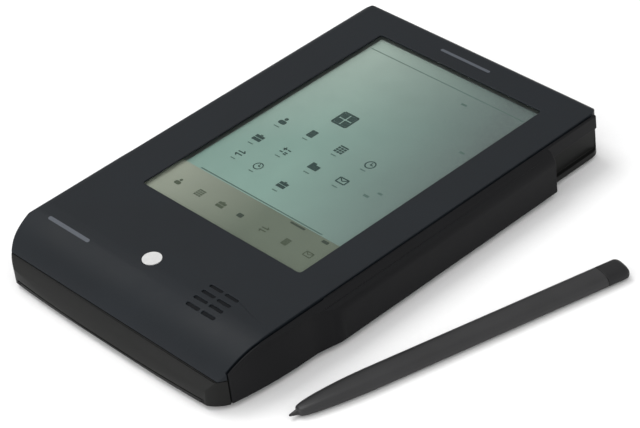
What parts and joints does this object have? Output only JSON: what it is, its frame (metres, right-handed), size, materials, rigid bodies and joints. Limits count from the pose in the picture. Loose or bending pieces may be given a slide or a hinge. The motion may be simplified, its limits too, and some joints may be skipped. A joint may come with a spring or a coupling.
{
  "type": "personal digital assistant",
  "caption": "Hand-sized slab organiser with a large recessed touch screen, a side rail that stores its stylus, a card slot at the top end and the stylus lying beside it.",
  "frame": {"origin": "centre of the case's flat underside, midway along its length and width without the stylus rail", "axes": "+X towards the stylus rail, +Y towards the end with the card slot, +Z out of the screen"},
  "size_m": [0.1708, 0.1854, 0.0209],
  "materials": {
    "top_shell": "fine-grained moulded plastic, soft satin sheen",
    "bottom_shell": "fine-grained moulded plastic, slightly lighter than the top",
    "rail_shell": "satin moulded plastic",
    "door_shell": "fine-grained moulded plastic",
    "panel_glass": "clear touch panel with a fine matt face",
    "printed_strip": "printed film",
    "lcd": "grey-green reflective liquid crystal",
    "sheet_metal": "plated sheet steel",
    "flex_film": "amber film ribbon",
    "circuit_board": "green solder mask",
    "chip_black": "moulded black resin",
    "connector_ivory": "ivory moulded plastic",
    "steel": "bright plated steel",
    "badge_white": "glossy light grey inlay",
    "control_plastic": "satin black-grey plastic",
    "infrared_lens": "dark red translucent plastic",
    "contact_gold": "gold-plated contacts",
    "pot_blue": "blue moulded body",
    "reset_red": "red plastic",
    "cell_skin": "plain metallic cell jacket",
    "foot_rubber": "matt black rubber",
    "screw_black": "black oxide steel",
    "stylus_plastic": "satin charcoal plastic",
    "stylus_dark": "satin black-grey plastic",
    "nib_black": "hard black acetal"
  },
  "bodies": {
    "case": {"top_case": "top_shell", "bottom_case": "bottom_shell", "stylus_rail": "rail_shell", "touch_panel": "panel_glass", "icon_strip": "printed_strip", "lcd_glass": "lcd", "lcd_frame": "sheet_metal", "lcd_backplate": "sheet_metal", "lcd_ribbon": "flex_film", "main_board": "circuit_board", "logic_chips": "chip_black", "shield_can": "sheet_metal", "rom_board": "circuit_board", "rom_chips": "chip_black", "board_connector": "connector_ivory", "board_screws": "steel", "speaker": "chip_black", "speaker_ribbon": "flex_film", "badge": "badge_white", "card_cage": "sheet_metal", "card_connector": "chip_black", "lever_pin": "steel", "infrared_window": "infrared_lens", "infrared_module": "chip_black", "serial_port": "chip_black", "serial_pins": "contact_gold", "power_jack": "chip_black", "power_jack_pin": "steel", "power_switch": "sheet_metal", "contrast_pot": "pot_blue", "reset_switch": "sheet_metal", "battery_tray": "chip_black", "battery_cells": "cell_skin", "battery_springs": "steel", "battery_plates": "steel", "coin_cell": "steel", "coin_cell_holder": "chip_black", "feet": "foot_rubber", "case_screws": "screw_black"},
    "stylus": {"stylus_barrel": "stylus_plastic", "stylus_cap": "stylus_dark", "stylus_nib": "nib_black"},
    "battery_door": {"battery_door": "door_shell"},
    "power_knob": {"power_knob": "control_plastic"},
    "contrast_wheel": {"contrast_wheel": "control_plastic"},
    "eject_button": {"eject_button": "control_plastic"},
    "eject_lever": {"eject_lever": "sheet_metal"},
    "eject_plate": {"eject_plate": "sheet_metal"},
    "card_lock": {"card_lock": "control_plastic"},
    "reset_button": {"reset_button": "reset_red"},
    "coin_cell_cover": {"coin_cell_cover": "door_shell"}
  },
  "joints": [
    {"name": "stylus_lift", "type": "slide", "parent": "case", "child": "stylus", "axis": [0, 0, 1], "range_m": [0, 0.05]},
    {"name": "battery_door_slide", "type": "slide", "parent": "case", "child": "battery_door", "axis": [0, -1, 0], "range_m": [0, 0.012]},
    {"name": "power_knob_slide", "type": "slide", "parent": "case", "child": "power_knob", "axis": [0, 1, 0], "range_m": [0, 0.0022], "stiffness_N_per_m": 400},
    {"name": "contrast_wheel_turn", "type": "hinge", "parent": "case", "child": "contrast_wheel", "pos_m": [-0.05105, 0.028, 0.0129], "axis": [0, 0, 1], "range_deg": [-130, 130]},
    {"name": "eject_button_push", "type": "slide", "parent": "case", "child": "eject_button", "axis": [0, -1, 0], "range_m": [0, 0.005]},
    {"name": "eject_lever_swing", "type": "hinge", "parent": "case", "child": "eject_lever", "pos_m": [0.01, 0.0003, 0.0031], "axis": [0, 0, 1], "range_deg": [-21, 0]},
    {"name": "eject_plate_slide", "type": "slide", "parent": "case", "child": "eject_plate", "axis": [0, 1, 0], "range_m": [0, 0.005]},
    {"name": "card_lock_slide", "type": "slide", "parent": "case", "child": "card_lock", "axis": [1, 0, 0], "range_m": [0, 0.004]},
    {"name": "reset_button_push", "type": "slide", "parent": "case", "child": "reset_button", "axis": [0, 0, 1], "range_m": [0, 0.0006], "stiffness_N_per_m": 300},
    {"name": "coin_cell_cover_turn", "type": "hinge", "parent": "case", "child": "coin_cell_cover", "pos_m": [-0.022, -0.032, 0.00075], "axis": [0, 0, -1], "range_deg": [0, 45]}
  ],
  "couplings": [
    {"joint": "eject_lever_swing", "follows": "eject_button_push", "rad_per_m": -58},
    {"joint": "eject_plate_slide", "follows": "eject_button_push", "ratio": 0.79}
  ]
}
